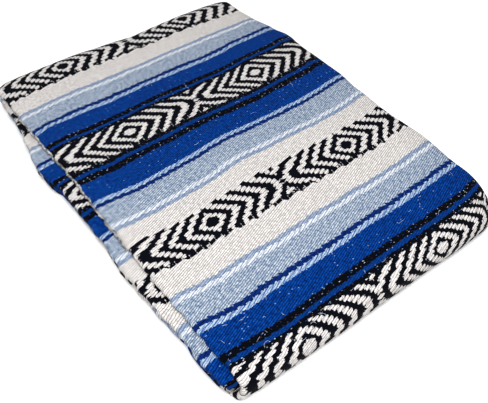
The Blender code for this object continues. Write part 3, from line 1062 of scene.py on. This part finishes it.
def woven_material(looks):
    """Woven acrylic and cotton yarn: matt and fuzzy, with slanting ribs, float rows and twisted cords.

    Single threads are under a millimetre, too fine to show, so a rib or a float stands for a few.
    """
    material, t = new_material("woven_falsa_yarn")
    cloth = SimpleNamespace()
    find_places(t, looks, cloth)
    find_stripes(t, looks, cloth)
    find_rows(t, looks, cloth)
    find_eyes(t, cloth)
    find_rings(t, looks, cloth)
    mixed, rib_painted_shade = rib_tones(t, looks, cloth)
    # The yarns mix, then the painted shade of the rib hollows and the cord strands darkens towards each
    # stripe's gap colour, then come the dark floats and the specks.
    colour = cloth.yarn
    for share, other in (
        (mixed, cloth.second), (rib_painted_shade, cloth.gap), (painted_strand_shade(t, cloth), cloth.gap),
        (dark_floats(t, cloth), linear(DARK_YARN)), specks(t, cloth),
    ):
        colour = add(t, "Mix", {0: share, 6: colour, 7: other}, out=2, data_type="RGBA")

    # Relief: the ribs stand up a little.
    height = add(t, "Math SUBTRACT", (1.0, rib_painted_shade))
    bump = add(t, "Bump", {"Strength": 0.9, "Distance": 0.7 * MM, "Height": height})
    give_surface(t, {"Base Color": colour, "Roughness": MATT, "Specular IOR Level": 0.03,
                     "Sheen Weight": 0.01, "Sheen Roughness": 0.4, "Normal": bump})
    return material


def millimetres(name, description, default):
    """A length that the sidebar can change."""
    return FloatProperty(name=name, description=description, default=default * MM, unit="LENGTH")


class ClothLooks(bpy.types.PropertyGroup):
    row_pitch: millimetres("Float row pitch", "Height of one row of floats in the diamonds on white", 5.5)
    fine_row_pitch: millimetres(
        "Fine float row pitch", "Height of one row of floats in the diamonds on black", 4.4)
    row_slant: FloatProperty(
        name="Float row slant", description="How far the rows of floats rise to the right, in degrees",
        default=12.0)
    row_step: FloatProperty(
        name="Row step", description="How much of a row steps at once, from 0 to 1", default=0.8)
    cord_turn: millimetres("Cord turn", "Length of one turn of a twisted cord", 11.5)
    ring_width: millimetres("Ring width", "Width of a diamond's ring along the stripes", 11.4)
    eye_half_width: millimetres("Eye half width", "Half the width of the diamond's eye", 9.5)
    rib_pitch: millimetres("Rib pitch", "Distance from one yarn rib to the next", 2.8)
    rib_slant: FloatProperty(
        name="Rib slant", description="How far the ribs rise to the right, in degrees", default=20.0)
    dash_length: millimetres("Dash length", "Length of one yarn dash along a rib", 7.0)
    column_pitch: millimetres("Column pitch", "Distance from one upright column to the next", 3.3)
    line_wander: millimetres("Line wander", "How far the stripes wander to each side", 0.7)


class YarnLooks(bpy.types.PropertyGroup):
    strand_radius: millimetres("Strand radius", "Radius of one strand of the edge cord", 1.15)
    strand_turn: millimetres("Strand turn", "Length of one turn of the edge cord", 9.0)
    cord_steps: IntProperty(
        name="Cord steps", description="Steps of the mesh along the edge cord", default=300)
    fibre_radius: millimetres("Fibre radius", "Radius of a loose fibre", 0.16)
    fibre_length: millimetres("Fibre length", "Length of a loose fibre", 9.0)
    fibre_lift: millimetres("Fibre lift", "How high a loose fibre arches", 1.6)


class StudioLooks(bpy.types.PropertyGroup):
    floor_colour: FloatVectorProperty(
        name="Floor", description="Colour of the plain floor", size=4, subtype="COLOR",
        default=linear("E6E6E6"))
    key_power: FloatProperty(
        name="Key light", description="Power of the large soft light", default=41.5, unit="POWER")
    fill_power: FloatProperty(
        name="Fill light", description="Power of the weaker light", default=25.0, unit="POWER")
    sky_strength: FloatProperty(
        name="Surrounding light", description="Strength of the even light from all round", default=0.46)


class OBJECT_OT_blanket_edge_cord(bpy.types.Operator):
    """Builds the pale twisted cord along the top's left edge"""
    bl_idname = "object.blanket_edge_cord"
    bl_label = "Edge cord"

    def execute(self, context):
        mesh = build_edge_cord(context.scene.blanket_yarn_looks)
        finished(mesh, "edge_cord", plain_yarn("twisted_cotton_cord", "A5A3A0", "3C3D44"))
        return {"FINISHED"}


class OBJECT_OT_blanket_fibres(bpy.types.Operator):
    """Builds the loose fibres of the cloth's outside"""
    bl_idname = "object.blanket_fibres"
    bl_label = "Loose fibres"

    def execute(self, context):
        mesh = build_fibres(context.scene.blanket_yarn_looks)
        finished(mesh, "loose_fibres", plain_yarn("loose_acrylic_fibre", "C3CCDB", "97A6C0"))
        return {"FINISHED"}


class OBJECT_OT_blanket_cloth(bpy.types.Operator):
    """Builds the folded cloth and its woven material, and hides the solid's blanket"""
    bl_idname = "object.blanket_cloth"
    bl_label = "Folded cloth"

    def execute(self, context):
        material = woven_material(context.scene.blanket_cloth_looks)
        cloth = finished(build_cloth(), "folded_cloth", material)
        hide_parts("blanket")
        return {"FINISHED"}


class OBJECT_OT_blanket_studio(bpy.types.Operator):
    """Adds the floor, the soft lights and the camera"""
    bl_idname = "object.blanket_studio"
    bl_label = "Studio"

    def execute(self, context):
        looks = context.scene.blanket_studio_looks
        bpy.ops.mesh.primitive_plane_add(size=12.0, location=(0.0, 0.0, 0.0))
        floor = context.object
        floor.name = "floor"
        paper = bpy.data.materials.new("matt_white_paper")
        paper.use_nodes = True
        surface = paper.node_tree.nodes["Principled BSDF"]
        surface.inputs["Base Color"].default_value = looks.floor_colour
        surface.inputs["Roughness"].default_value = 0.9
        floor.data.materials.append(paper)

        world = bpy.data.worlds.new("studio")
        world.use_nodes = True
        sky = world.node_tree.nodes["Background"]
        sky.inputs["Color"].default_value = (1.0, 1.0, 1.0, 1.0)
        sky.inputs["Strength"].default_value = looks.sky_strength
        context.scene.world = world

        for lamp, power in ((KEY, looks.key_power), (FILL, looks.fill_power)):
            bpy.ops.object.light_add(type="AREA", location=lamp.place)
            light = context.object
            light.name = lamp.name
            light.data.shape = "DISK"
            light.data.size = lamp.size
            light.data.energy = power
            to_middle = -light.location
            light.rotation_euler = to_middle.to_track_quat("-Z", "Y").to_euler()

        rotation = [math.radians(angle) for angle in CAMERA_TURN]
        bpy.ops.object.camera_add(location=CAMERA_PLACE, rotation=rotation)
        camera = context.object
        camera.name = "camera"
        camera.data.sensor_fit = "HORIZONTAL"
        camera.data.sensor_width = 36.0
        camera.data.lens = CAMERA_LENS
        camera.data.clip_start = 0.01
        context.scene.camera = camera
        context.scene.view_settings.view_transform = "Standard"
        return {"FINISHED"}


class VIEW3D_PT_blanket(bpy.types.Panel):
    """Sizes of the blanket and its studio"""
    bl_label = "Blanket"
    bl_idname = "VIEW3D_PT_blanket"
    bl_space_type = "VIEW_3D"
    bl_region_type = "UI"
    bl_category = "Blanket"

    def draw(self, context):
        scene = context.scene
        for group in (scene.blanket_cloth_looks, scene.blanket_yarn_looks, scene.blanket_studio_looks):
            box = self.layout.box()
            for name in group.__annotations__:
                box.prop(group, name)
        for operator in OPERATORS:
            self.layout.operator(operator.bl_idname)


OPERATORS = (OBJECT_OT_blanket_edge_cord, OBJECT_OT_blanket_fibres, OBJECT_OT_blanket_cloth,
             OBJECT_OT_blanket_studio)
CLASSES = (ClothLooks, YarnLooks, StudioLooks, *OPERATORS, VIEW3D_PT_blanket)


def register():
    for cls in CLASSES:
        bpy.utils.register_class(cls)
    bpy.types.Scene.blanket_cloth_looks = PointerProperty(type=ClothLooks)
    bpy.types.Scene.blanket_yarn_looks = PointerProperty(type=YarnLooks)
    bpy.types.Scene.blanket_studio_looks = PointerProperty(type=StudioLooks)


def unregister():
    del bpy.types.Scene.blanket_studio_looks
    del bpy.types.Scene.blanket_yarn_looks
    del bpy.types.Scene.blanket_cloth_looks
    for cls in reversed(CLASSES):
        bpy.utils.unregister_class(cls)


def main():
    """Builds the pieces and the studio."""
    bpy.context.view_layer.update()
    register()
    bpy.ops.object.select_all(action="DESELECT")
    bpy.ops.object.blanket_edge_cord()
    bpy.ops.object.blanket_fibres()
    bpy.ops.object.blanket_cloth()
    bpy.ops.object.blanket_studio()


if __name__ == "__main__":
    main()
